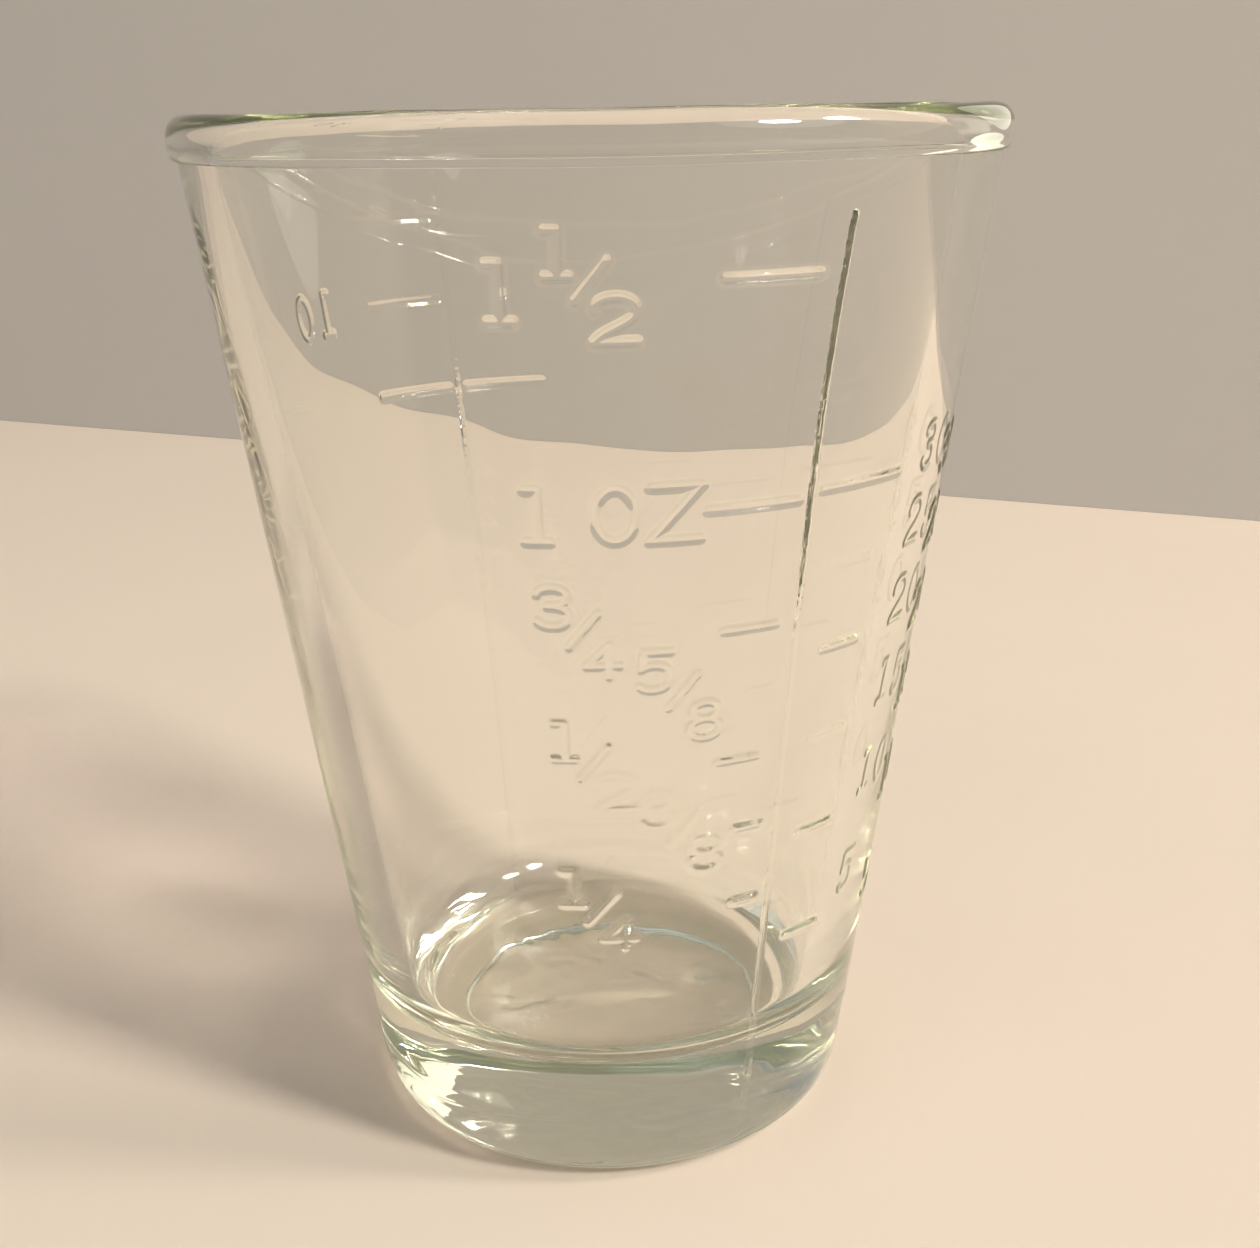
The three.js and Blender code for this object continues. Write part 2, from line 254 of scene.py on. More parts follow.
def turn_faces_out(mesh: bpy.types.Mesh) -> None:
    """Merges a mesh's doubles and points its faces outwards.

    Args:
        mesh: a closed mesh.
    """
    work = bmesh.new()
    work.from_mesh(mesh)
    bmesh.ops.remove_doubles(work, verts=work.verts, dist=1e-7)
    bmesh.ops.recalc_face_normals(work, faces=work.faces)
    work.to_mesh(mesh)
    work.free()


def polyline_mesh(
    name: str, lines: list[np.ndarray], strengths: list[np.ndarray] | None = None
) -> bpy.types.Mesh:
    """A mesh of loose edges.

    Args:
        name: the mesh's name.
        lines: each line's points, an array of rows of x, y, z.
        strengths: how strongly each point is pressed, kept as the attribute `strength`.

    Returns:
        The mesh.
    """
    points: list[list[float]] = []
    edges: list[tuple[int, int]] = []
    for line in lines:
        start = len(points)
        points.extend(line.tolist())
        edges.extend((start + i, start + i + 1) for i in range(len(line) - 1))
    mesh = bpy.data.meshes.new(name)
    mesh.from_pydata(points, edges, [])
    if strengths is not None:
        attribute = mesh.attributes.new(STRENGTH, "FLOAT", "POINT")
        attribute.data.foreach_set("value", np.concatenate(strengths).astype(np.float32))
    return mesh


# ---- The frame's sizes -----------------------------------------------------------------------------------


def node_points(name: str) -> np.ndarray:
    """The corners of a node of the frame, as rows of x, y, z."""
    return np.array([v.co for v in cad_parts[name].data.vertices], float)


@dataclass
class CadProfile:
    """Radii and heights of the glass, read from the foot, the wall and the bead of the frame."""

    level: float = 0.02 * MM

    def __post_init__(self) -> None:
        """Measures the three nodes."""
        self.foot_top, self.inner_foot, self.outer_foot = self.ring("wall", top=False)
        self.bead_bottom, self.inner_top, self.outer_top = self.ring("wall", top=True)
        foot = node_points("foot")
        radii = np.hypot(foot[:, 0], foot[:, 1])
        axis = foot[radii < self.level, 2]
        self.hollow_depth, self.floor_height = float(axis.min()), float(axis.max())
        flat = radii[foot[:, 2] < self.level]
        self.hollow_radius, self.standing_radius = float(flat.min()), float(flat.max())
        floor = radii[np.abs(foot[:, 2] - self.floor_height) < self.level]
        self.floor_radius = float(floor.max())
        bead = node_points("rim_bead")
        bead_radii = np.hypot(bead[:, 0], bead[:, 1])
        self.height = float(bead[:, 2].max())
        self.bead_radius = float(bead_radii.max())
        self.bead_widest = float(bead[bead_radii > self.bead_radius - self.level, 2].mean())
        self.crown_radius = float(bead_radii[bead[:, 2] > self.height - self.level].mean())
        rise = self.bead_bottom - self.foot_top
        self.outer_slope = (self.outer_top - self.outer_foot) / rise
        self.inner_slope = (self.inner_top - self.inner_foot) / rise

    def ring(self, node: str, top: bool) -> tuple[float, float, float]:
        """Measures an end of a node.

        Args:
            node: the node's name.
            top: its upper end, or else its lower one.

        Returns:
            The end's height, and its inner and outer radius.
        """
        points = node_points(node)
        height = points[:, 2].max() if top else points[:, 2].min()
        end = points[np.abs(points[:, 2] - height) < self.level]
        radii = np.hypot(end[:, 0], end[:, 1])
        return float(height), float(radii.min()), float(radii.max())

    def outer(self, height: float) -> float:
        """Radius of the outer cone at a height."""
        return self.outer_foot + self.outer_slope * (height - self.foot_top)

    def inner(self, height: float) -> float:
        """Radius of the inner cone at a height."""
        return self.inner_foot + self.inner_slope * (height - self.foot_top)


# ---- Finishes --------------------------------------------------------------------------------------------


@dataclass(frozen=True)
class GlassFinish:
    """Pressed soda-lime glass: fire-polished, a little yellow-green in the thick, with handling marks."""

    name: str
    colour: tuple[float, float, float] = (1.0, 0.998, 0.985)
    stain: tuple[float, float, float] = (0.985, 0.97, 0.92)
    absorbed: tuple[float, float, float] = (0.60, 0.65, 0.40)
    density: float = 15.5
    ior: float = 1.52
    polish: float = 0.0
    wear: float = 0.02
    ripple: float = 0.02
    ripple_depth: float = 0.2 * MM
    ripple_per_metre: float = 160.0
    smears_per_metre: float = 90.0
    smear_range: tuple[float, float] = (0.56, 0.74)
    grain_per_metre: float = 2600.0
    grain_range: tuple[float, float] = (0.35, 0.7)
    worn_height: float = 0.01

    def make(self) -> bpy.types.Material:
        """Makes the material.

        Returns:
            A material with its own nodes for colour, wear, roughness and bump.
        """
        material = bpy.data.materials.new(self.name)
        material.use_nodes = True
        material.node_tree.nodes.clear()
        graph = Graph(material.node_tree)
        place = graph.add("ShaderNodeTexCoord").outputs["Object"]
        smears = graph.noise(place, self.smears_per_metre, 4.0, Roughness=0.62, Distortion=0.8)
        grain = graph.noise(place, self.grain_per_metre, 2.0)
        worn = graph.clamp_ramp(smears, *self.smear_range, 0.0, 1.0)
        speckled = graph.math("MULTIPLY", worn, graph.clamp_ramp(grain, *self.grain_range, 0.2, 1.0))
        roughness = graph.math("MULTIPLY_ADD", speckled, self.wear, self.polish)
        inputs = {0: speckled, 6: (*self.colour, 1), 7: (*self.stain, 1)}
        colour = graph.add("ShaderNodeMix", inputs, data_type="RGBA")
        ripples = graph.noise(place, self.ripple_per_metre, 1.0)
        height = graph.math("MULTIPLY_ADD", worn, self.worn_height, ripples)
        inputs = {"Strength": self.ripple, "Distance": self.ripple_depth, "Height": height}
        bump = graph.add("ShaderNodeBump", inputs)
        glass = graph.add(
            "ShaderNodeBsdfPrincipled",
            {
                "Base Color": colour.outputs[2],
                "Roughness": roughness,
                "Normal": bump.outputs[0],
                "IOR": self.ior,
                "Transmission Weight": 1.0,
            },
        )
        inputs = {"Color": (*self.absorbed, 1), "Density": self.density}
        depth = graph.add("ShaderNodeVolumeAbsorption", inputs)
        graph.add("ShaderNodeOutputMaterial", {"Surface": glass.outputs[0], "Volume": depth.outputs[0]})
        return material


@dataclass(frozen=True)
class StageFinish:
    """Matt cloth or paint for the floor and the backdrop."""

    name: str
    colour: tuple[float, float, float]
    shade: float
    patches_per_metre: float

    def make(self) -> bpy.types.Material:
        """Makes the material.

        Returns:
            A matt material with a faint change of tone.
        """
        material = bpy.data.materials.new(self.name)
        material.use_nodes = True
        graph = Graph(material.node_tree)
        shader = material.node_tree.nodes["Principled BSDF"]
        place = graph.add("ShaderNodeTexCoord").outputs["Object"]
        noise = graph.noise(place, self.patches_per_metre, 3.0)
        dark = tuple(c * self.shade for c in self.colour)
        inputs = {0: noise, 6: (*dark, 1), 7: (*self.colour, 1)}
        tone = graph.add("ShaderNodeMix", inputs, data_type="RGBA")
        graph.feed(shader.inputs["Base Color"], tone.outputs[2])
        shader.inputs["Roughness"].default_value = 0.9
        shader.inputs["Specular IOR Level"].default_value = 0.2
        return material


# ---- The body of the glass -------------------------------------------------------------------------------


def quadratic(start: tuple, control: tuple, end: tuple, count: int) -> list[tuple[float, float]]:
    """Points along a quadratic curve, without its start.

    Args:
        start: where the curve starts.
        control: its control point.
        end: where it ends.
        count: how many points.

    Returns:
        The points, the last of them at the end.
    """
    t = np.linspace(0, 1, count + 1)[1:, None]
    a, b, c = (np.array(p, float) for p in (start, control, end))
    return [tuple(p) for p in (1 - t) ** 2 * a + 2 * t * (1 - t) * b + t**2 * c]


def straight(start: tuple, end: tuple, count: int) -> list[tuple[float, float]]:
    """Evenly spaced points along a straight line, without its start."""
    a, b = np.array(start, float), np.array(end, float)
    return [tuple(a + (b - a) * i / count) for i in range(1, count + 1)]


def surface_wave(graph: GeometryGraph, place: Any) -> bpy.types.NodeSocket:
    """The waviness that the mould and the fire polish leave, as a distance out of the surface.

    Args:
        graph: the tree that it is added to, which has the waves' height and length as inputs.
        place: the point on the true surface.

    Returns:
        The distance's socket.
    """
    rate = graph.math("DIVIDE", 1.0, graph.given("Wave Length"))
    stretched = graph.stretch(place, (1.0, 1.0, WAVE_STRETCH))
    noise = graph.noise(stretched, rate, 1.0, Roughness=0.4)
    centred = graph.math("SUBTRACT", noise, 0.5)
    return graph.math("MULTIPLY_ADD", centred, graph.given("Wave Height"), foot_ripple(graph, place))


def foot_ripple(graph: Graph, place: Any) -> bpy.types.NodeSocket:
    """The level ripples round the outside of the foot, where the glass chilled against the mould.

    Args:
        graph: the tree that it is added to.
        place: the point on the true surface.

    Returns:
        The distance's socket.
    """
    noise = graph.noise(graph.stretch(place, (1.0, 1.0, RIPPLE_SQUEEZE)), RIPPLES_PER_METRE, 2.0)
    height = graph.split(place)[2]
    above = graph.clamp_ramp(height, *RIPPLE_GROWTH, 0.0, RIPPLE_HEIGHT)
    below = graph.clamp_ramp(height, *RIPPLE_FADE, 1.0, 0.0)
    return graph.math("MULTIPLY", graph.math("SUBTRACT", noise, 0.5), graph.math("MULTIPLY", above, below))


@dataclass
class GlassBody:
    """The foot, the wall and the bead as one turned shell, which light can cross without an inner face."""

    shape: CadProfile
    nodes: ClassVar[tuple[str, ...]] = ("foot", "wall", "rim_bead")
    columns: int = 288
    wall_rows: int = 70
    corner_rows: int = 16
    bead_rows: int = 14
    floor_rows: int = 18
    heel_height: float = 3.7 * MM
    hollow_bevel: float = 0.5 * MM
    lip_depth: float = 1.1 * MM
    rim_sag: float = 0.35 * MM
    rim_fade: float = 3.0 * MM
    droop_per_metre: float = 75.0
    wave_growth: float = 4.0 * MM
    ripple_height: float = 0.5 * MM
    ripple_per_metre: float = 170.0
    ripple_edge: float = 0.8
    ripple_fade: float = 1.0 * MM

    def profile(self) -> list[tuple[float, float]]:
        """The outline, from the hollow under the foot, up the outside and down the inside.

        Returns:
            Its points as radius and height.
        """
        s = self.shape
        start = (0.0, s.hollow_depth)
        shoulder = (s.hollow_radius - self.hollow_bevel, s.hollow_depth)
        ring = (s.hollow_radius, 0.0)
        stand = (s.standing_radius, 0.0)
        heel = (s.outer(self.heel_height), self.heel_height)
        heel_control = (s.outer(0.0), 0.0)
        outer_top = (s.outer_top, s.bead_bottom)
        widest = (s.bead_radius, s.bead_widest)
        crown = (s.crown_radius, s.height)
        lip_height = s.height - self.lip_depth
        lip = (s.inner(lip_height), lip_height)
        inner_foot = (s.inner_foot, s.foot_top)
        floor_edge = (s.floor_radius, s.floor_height)
        floor_control = (s.inner(s.floor_height), s.floor_height)
        points = [start]
        points += straight(start, shoulder, self.floor_rows)
        points += quadratic(shoulder, (ring[0] - 0.1 * MM, s.hollow_depth * 0.9), ring, 5)
        points += straight(ring, stand, 4)
        points += quadratic(stand, heel_control, heel, self.corner_rows)
        points += straight(heel, outer_top, self.wall_rows)
        points += quadratic(outer_top, (s.bead_radius, s.bead_bottom), widest, self.bead_rows)
        points += quadratic(widest, (s.bead_radius, s.height), crown, self.bead_rows)
        points += quadratic(crown, (lip[0], s.height), lip, self.bead_rows)
        points += straight(lip, inner_foot, self.wall_rows)
        points += quadratic(inner_foot, floor_control, floor_edge, self.corner_rows)
        points += straight(floor_edge, (0.0, s.floor_height), self.floor_rows)
        return points

    def tree(self) -> GeometryGraph:
        """Builds the tree that turns a profile round +Z.

        Returns:
            The finished tree.
        """
        graph = GeometryGraph("turned_shell")
        graph.input("Columns", "NodeSocketInt", self.columns)
        graph.input("Rows", "NodeSocketInt", 3)
        for name in ("Wave Height", "Wave Length", "Rim Sag", "Rim Fade", "Rim Height"):
            graph.input(name)
        graph.input("Material", "NodeSocketMaterial")
        rows = graph.given("Rows")
        seam_and_columns = graph.math("ADD", graph.given("Columns"), 1)
        grid = graph.add("GeometryNodeMeshGrid", {"Vertices X": seam_and_columns, "Vertices Y": rows})
        index = graph.add("GeometryNodeInputIndex").outputs[0]
        column = graph.math("FLOOR", graph.math("DIVIDE", graph.math("ADD", index, 0.5), rows))
        row = graph.math("SUBTRACT", index, graph.math("MULTIPLY", column, rows))
        inputs = {"Geometry": graph.given("Geometry"), "Value": graph.place(), "Index": row}
        sampled = graph.add("GeometryNodeSampleIndex", inputs, data_type="FLOAT_VECTOR")
        radius, _, height = graph.split(sampled.outputs[0])
        turn = graph.math("MULTIPLY", graph.math("DIVIDE", column, graph.given("Columns")), math.tau)
        x = graph.math("MULTIPLY", radius, graph.math("SINE", turn))
        y = graph.math("MULTIPLY", radius, graph.math("MULTIPLY", graph.math("COSINE", turn), -1.0))
        inputs = {"Geometry": grid.outputs[0], "Position": graph.join(x, y, height)}
        placed = graph.add("GeometryNodeSetPosition", inputs)
        merged = graph.add("GeometryNodeMergeByDistance", {"Geometry": placed.outputs[0], "Distance": 1e-6})
        graph.close(self.waved(graph, merged.outputs[0]))
        return graph

    def waved(self, graph: GeometryGraph, shell: bpy.types.NodeSocket) -> bpy.types.NodeSocket:
        """Adds the waviness of the walls and the uneven droop of the bead.

        Args:
            graph: the shell's tree.
            shell: the true shell.

        Returns:
            The waved shell's socket.
        """
        position = graph.place()
        normal = graph.add("GeometryNodeInputNormal").outputs[0]
        height = graph.split(position)[2]
        wave = surface_wave(graph, position)
        standing = graph.clamp_ramp(height, 0.0, self.wave_growth, 0.0, 1.0)
        wave = graph.math("MULTIPLY_ADD", wave, standing, self.base_ripple(graph, position, height))
        out = graph.add("ShaderNodeVectorMath", {0: normal, "Scale": wave}, operation="SCALE")
        from_rim = graph.math("SUBTRACT", graph.given("Rim Height"), height)
        near_rim = graph.math("SUBTRACT", 1.0, graph.math("DIVIDE", from_rim, graph.given("Rim Fade")))
        mask = graph.clamp_ramp(near_rim, 0.0, 1.0, 0.0, 1.0)
        droop = graph.noise(graph.stretch(position, (1.0, 1.0, 0.0)), self.droop_per_metre, 1.5)
        sag = graph.math("MULTIPLY", graph.math("MULTIPLY", droop, graph.given("Rim Sag")), mask)
        down = graph.join(z=graph.math("MULTIPLY", sag, -1.0))
        offset = graph.add("ShaderNodeVectorMath", {0: out.outputs[0], 1: down}, operation="ADD")
        moved = graph.add("GeometryNodeSetPosition", {"Geometry": shell, "Offset": offset.outputs[0]})
        return moved.outputs[0]

    def base_ripple(self, graph: GeometryGraph, position: Any, height: Any) -> bpy.types.NodeSocket:
        """The coarser unevenness of the hollow under the foot and of the inside floor.

        Args:
            graph: the shell's tree.
            position: the point on the true shell.
            height: its height.

        Returns:
            The distance out of the surface.
        """
        flat = graph.stretch(position, (1.0, 1.0, 0.0))
        length = graph.add("ShaderNodeVectorMath", {0: flat}, operation="LENGTH")
        radius = length.outputs["Value"]
        edge = self.shape.hollow_radius
        inside = graph.clamp_ramp(radius, edge * self.ripple_edge, edge, 1.0, 0.0)
        top = self.shape.floor_height + self.ripple_fade
        low = graph.clamp_ramp(height, top, top + self.ripple_fade, 1.0, 0.0)
        noise = graph.noise(position, self.ripple_per_metre, 2.0, Distortion=0.6)
        swing = graph.math("MULTIPLY", graph.math("SUBTRACT", noise, 0.5), self.ripple_height)
        return graph.math("MULTIPLY", graph.math("MULTIPLY", inside, low), swing)

    def build(self, finish: bpy.types.Material) -> bpy.types.Object:
        """Builds the shell in the place of its three nodes.

        Args:
            finish: the clear glass.

        Returns:
            The finished piece.
        """
        outline = np.array([(r, 0.0, z) for r, z in self.profile()])
        base = polyline_mesh("outline", [outline])
        values = {
            "Columns": self.columns,
            "Rows": len(outline),
            "Wave Height": WAVE_HEIGHT,
            "Wave Length": WAVE_LENGTH,
            "Rim Sag": self.rim_sag,
            "Rim Fade": self.rim_fade,
            "Rim Height": self.shape.height,
            "Material": finish,
        }
        piece = self.tree().run("glass_body", base, values)
        piece.cycles.is_caustics_caster = True
        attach(piece, BODY)
        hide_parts(*self.nodes)
        return piece


# ---- Raised marks ----------------------------------------------------------------------------------------


class MarkKind(Enum):
    """What a raised mark of the frame is."""

    SEAM = "seam"
    LINE = "line"
    FIGURE = "figure"

    @classmethod
    def of(cls, node: str) -> "MarkKind":
        """The kind of the node of that name."""
        if node.endswith("_seam"):
            return cls.SEAM
        return cls.LINE if node.endswith("_line") else cls.FIGURE


# Centre lines of each figure's strokes, on a cell one wide and one high. A point of two numbers is the end
# of a straight stretch, and one of six is a cubic curve: two control points and the end.
STROKES: dict[str, list[list[tuple[float, ...]]]] = {
    "/": [[(0, 0), (1, 1)]],
    "1": [[(0.05, 1), (0.55, 1), (0.55, 0)], [(0, 0), (1, 0)]],
    "2": [[(0, 0.72), (0, 1.1, 1, 1.1, 1, 0.7), (1, 0.42, 0.2, 0.3, 0, 0), (1, 0)]],
    "3": [
        [(0.02, 0.84), (0.15, 1.06, 0.95, 1.06, 0.95, 0.77), (0.95, 0.57, 0.7, 0.53, 0.35, 0.53)],
        [(0.35, 0.53), (0.75, 0.53, 1, 0.45, 1, 0.26), (1, -0.07, 0.15, -0.06, 0, 0.14)],
    ],
    "4": [[(0.68, 0), (0.68, 1), (0, 0.34), (1, 0.34)]],
    "5": [[(1, 1), (0.12, 1), (0.05, 0.56), (0.35, 0.72, 1, 0.68, 1, 0.33), (1, -0.06, 0.2, -0.08, 0, 0.1)]],
    "Z": [[(0, 1), (1, 1), (0, 0), (1, 0)]],
}

# Rings that the other figures are made of, on the same cell: centre x and y, radius x and y.
RINGS: dict[str, list[tuple[float, float, float, float]]] = {
    "0": [(0.5, 0.5, 0.5, 0.5)],
    "O": [(0.5, 0.5, 0.5, 0.5)],
    "8": [(0.5, 0.27, 0.5, 0.27), (0.5, 0.77, 0.42, 0.23)],
}


def figure_of(node: str) -> str:
    """The character that a figure's node is named for.

    Args:
        node: the node's name, such as ounce_3_4_numerator, cc_30_digit_1 or ounce_1_letter_O.

    Returns:
        The character.
    """
    words = node.split("_")
    if words[-1] in ("numerator", "denominator"):
        return words[-3] if words[-1] == "numerator" else words[-2]
    if words[-1] == "slash":
        return "/"
    if words[-1] == "whole":
        return words[1]
    return words[-1] if words[-2] == "letter" else words[1][int(words[-1]) - 1]


def stroke_points(stroke: list[tuple[float, ...]], steps: int = 14) -> np.ndarray:
    """Points along a stroke's centre line.

    Args:
        stroke: its stretches, as in STROKES.
        steps: points on each curve.

    Returns:
        Rows of x and y on the unit cell.
    """
    points = [np.array(stroke[0], float)]
    t = np.linspace(0, 1, steps + 1)[1:, None]
    for stretch in stroke[1:]:
        if len(stretch) == 2:
            points.append(np.array(stretch, float))
            continue
        a, b, c, d = points[-1], *(np.array(stretch[i : i + 2], float) for i in (0, 2, 4))
        points.extend((1 - t) ** 3 * a + 3 * t * (1 - t) ** 2 * b + 3 * t**2 * (1 - t) * c + t**3 * d)
    return np.array(points)


def ring_points(ring: tuple[float, float, float, float], steps: int = 40) -> np.ndarray:
    """Points round a ring, the last one on the first, as rows of x and y on the unit cell."""
    cx, cy, rx, ry = ring
    t = np.linspace(0, math.tau, steps + 1)
    return np.column_stack([cx + rx * np.cos(t), cy + ry * np.sin(t)])


@dataclass
class MarkPlace:
    """Where a mark's node lies on the outer cone."""

    angle: float
    height: float
    width: float
    rise: float

    @classmethod
    def of(cls, node: str) -> "MarkPlace":
        """Measures a node.

        Args:
            node: the node's name.

        Returns:
            Its middle angle and height, its width round the glass and its height up the glass.
        """
        points = node_points(node)
        mean = points.mean(0)
        middle = math.atan2(mean[0], -mean[1])
        turned = np.arctan2(points[:, 0], -points[:, 1]) - middle
        turned = (turned + math.pi) % math.tau - math.pi
        low, high = points[:, 2].min(), points[:, 2].max()
        radius = np.hypot(points[:, 0], points[:, 1]).mean()
        width = (turned.max() - turned.min()) * radius
        angle = middle + (turned.max() + turned.min()) / 2
        return cls(float(angle), float(low + high) / 2, float(width), float(high - low))


@dataclass(frozen=True)
class Pressing:
    """How one kind of mark was pressed: the ridge's half width, its height and how uneven it is."""

    half_width: float
    relief: float
    softness: float
    ragged: float
    cell: float


@dataclass
class RaisedMarks:
    """Every seam, scale line and figure: soft ridges pressed on the outer cone."""

    shape: CadProfile
    seat: float = 0.012 * MM
    floor: float = 0.005 * MM
    lift: float = 0.001 * MM
    stroke: float = 0.55 * MM
    ragged_per_metre: float = 1400.0
    seam_points: int = 80
    seam_lean: float = 0.9 * MM
    seam_fade_height: float = 38 * MM
    seam_fade_length: float = 1.0 * MM
    seam_trace: float = 0.12
    seam_foot_rise: float = 3.0 * MM
    seam_foot_trace: float = 0.25
    line_points: int = 24
    line_end: float = 0.125
    line_end_strength: float = 0.75
    back_seam_trace: float = 0.08
    back_seam_swell: float = 0.8
    back_seam_drop: float = 1.2 * MM
    back_seam_spread: float = 1.8 * MM
    worn: dict[str, float] = field(
        default_factory=lambda: {
            "cc": 0.75,
            "cc_25_line": 0.15,
            "dram_12_line": 0.3,
            "dram_10_line": 0.35,
            "cc_15_line": 0.15,
            "ounce_5_8_line": 0.4,
            "ounce_1_2_denominator": 0.4,
            "ounce_3_8_numerator": 0.4,
            "ounce_3_8_slash": 0.35,
            "ounce_3_8_denominator": 0.4,
            "ounce_1_4_numerator": 0.6,
        }
    )
    pressings: dict[MarkKind, Pressing] = field(
        default_factory=lambda: {
            MarkKind.SEAM: Pressing(0.24 * MM, 0.25 * MM, 1.3, 0.12 * MM, 0.06 * MM),
            MarkKind.LINE: Pressing(0.44 * MM, 0.13 * MM, 3.0, 0.05 * MM, 0.07 * MM),
            MarkKind.FIGURE: Pressing(0.44 * MM, 0.13 * MM, 3.0, 0.03 * MM, 0.07 * MM),
        }
    )

    def tree(self) -> GeometryGraph:
        """Builds the tree that raises ridges along flat strokes and wraps them on the cone.

        Returns:
            The finished tree.
        """
        graph = GeometryGraph("ridges_on_cone")
        for name in ("Half Width", "Relief", "Softness", "Seat", "Floor", "Cell", "Ragged"):
            graph.input(name)
        for name in ("Angle", "Height", "Radius", "Lean", "Wave Height", "Wave Length"):
            graph.input(name)
        graph.input("Material", "NodeSocketMaterial")
        strokes = graph.given("Geometry")
        half, cell = graph.given("Half Width"), graph.given("Cell")
        margin = graph.math("ADD", half, graph.math("MULTIPLY", cell, 2.0))
        box = graph.add("GeometryNodeBoundBox", {0: strokes})
        lows, highs = graph.split(box.outputs["Min"]), graph.split(box.outputs["Max"])
        size, middle = [], []
        for low, high in zip(lows[:2], highs[:2]):
            size.append(graph.math("MULTIPLY_ADD", margin, 2.0, graph.math("SUBTRACT", high, low)))
            middle.append(graph.math("MULTIPLY", graph.math("ADD", high, low), 0.5))
        counts = [graph.math("ADD", graph.math("CEIL", graph.math("DIVIDE", s, cell)), 1.0) for s in size]
        grid = graph.add(
            "GeometryNodeMeshGrid",
            {"Size X": size[0], "Size Y": size[1], "Vertices X": counts[0], "Vertices Y": counts[1]},
        )
        inputs = {"Geometry": grid.outputs[0], "Translation": graph.join(*middle)}
        sheet = graph.add("GeometryNodeTransform", inputs)
        distance = self.distance(graph, strokes)
        beyond = graph.math("GREATER_THAN", distance, graph.math("MULTIPLY_ADD", cell, 0.75, half))
        kept = graph.add(
            "GeometryNodeDeleteGeometry", {"Geometry": sheet.outputs[0], "Selection": beyond}, domain="FACE"
        )
        inputs = {"Mesh": kept.outputs[0], "Offset": (0.0, 0.0, 1.0), "Offset Scale": self.lift}
        raised = graph.add("GeometryNodeExtrudeMesh", {**inputs, "Individual": False})
        across = graph.math("MINIMUM", graph.math("DIVIDE", distance, half), 1.0)
        dome = graph.math("SUBTRACT", 1.0, graph.math("MULTIPLY", across, across))
        swell = graph.math("POWER", dome, graph.given("Softness"))
        relief = graph.math("MULTIPLY", graph.given("Relief"), self.strength(graph, strokes))
        full = graph.math("ADD", relief, graph.given("Seat"))
        height = graph.math("SUBTRACT", graph.math("MULTIPLY", swell, full), graph.given("Seat"))
        sunk = graph.math("MULTIPLY", graph.given("Seat"), -1.0)
        under = graph.math("SUBTRACT", sunk, graph.given("Floor"))
        crest = self.at_level(graph, raised.outputs["Mesh"], height, raised.outputs["Top"])
        is_side = graph.math("SUBTRACT", 1.0, raised.outputs["Top"])
        crest = self.at_level(graph, crest, under, is_side)
        turned = graph.add("GeometryNodeFlipFaces", {"Mesh": kept.outputs[0]})
        seat = self.at_level(graph, turned.outputs[0], under, True)
        joined = graph.add("GeometryNodeJoinGeometry")
        graph.tree.links.new(crest, joined.inputs[0])
        graph.tree.links.new(seat, joined.inputs[0])
        closed = graph.add("GeometryNodeMergeByDistance", {"Geometry": joined.outputs[0], "Distance": 1e-7})
        graph.close(self.wrapped(graph, closed.outputs[0]))
        return graph

    def distance(self, graph: GeometryGraph, strokes: bpy.types.NodeSocket) -> bpy.types.NodeSocket:
        """The distance from a point of the sheet to the nearest stroke, a little uneven.

        Args:
            graph: the ridges' tree.
            strokes: the flat strokes.

        Returns:
            The distance's socket.
        """
        near = graph.add("GeometryNodeProximity", {"Geometry": strokes}, target_element="EDGES")
        noise = graph.noise(graph.place(), self.ragged_per_metre, 1.0)
        centred = graph.math("SUBTRACT", noise, 0.5)
        uneven = graph.math("MULTIPLY", centred, graph.given("Ragged"))
        return graph.math("ADD", near.outputs["Distance"], uneven)

    def strength(self, graph: GeometryGraph, strokes: bpy.types.NodeSocket) -> bpy.types.NodeSocket:
        """How strongly the nearest point of the strokes is pressed.

        Args:
            graph: the ridges' tree.
            strokes: the flat strokes.

        Returns:
            The strength's socket.
        """
        nearest = graph.add("GeometryNodeSampleNearest", {"Geometry": strokes})
        stored = graph.add("GeometryNodeInputNamedAttribute", {"Name": STRENGTH}, data_type="FLOAT")
        inputs = {"Geometry": strokes, "Value": stored.outputs[0], "Index": nearest.outputs[0]}
        return graph.add("GeometryNodeSampleIndex", inputs, data_type="FLOAT").outputs[0]

    def at_level(
        self, graph: GeometryGraph, mesh: bpy.types.NodeSocket, level: Any, selection: Any
    ) -> bpy.types.NodeSocket:
        """Sets the height of the chosen points of a flat mesh.

        Args:
            graph: the ridges' tree.
            mesh: the mesh.
            level: the height.
            selection: which points.

        Returns:
            The moved mesh's socket.
        """
        x, y, _ = graph.split(graph.place())
        inputs = {"Geometry": mesh, "Position": graph.join(x, y, level), "Selection": selection}
        return graph.add("GeometryNodeSetPosition", inputs).outputs[0]

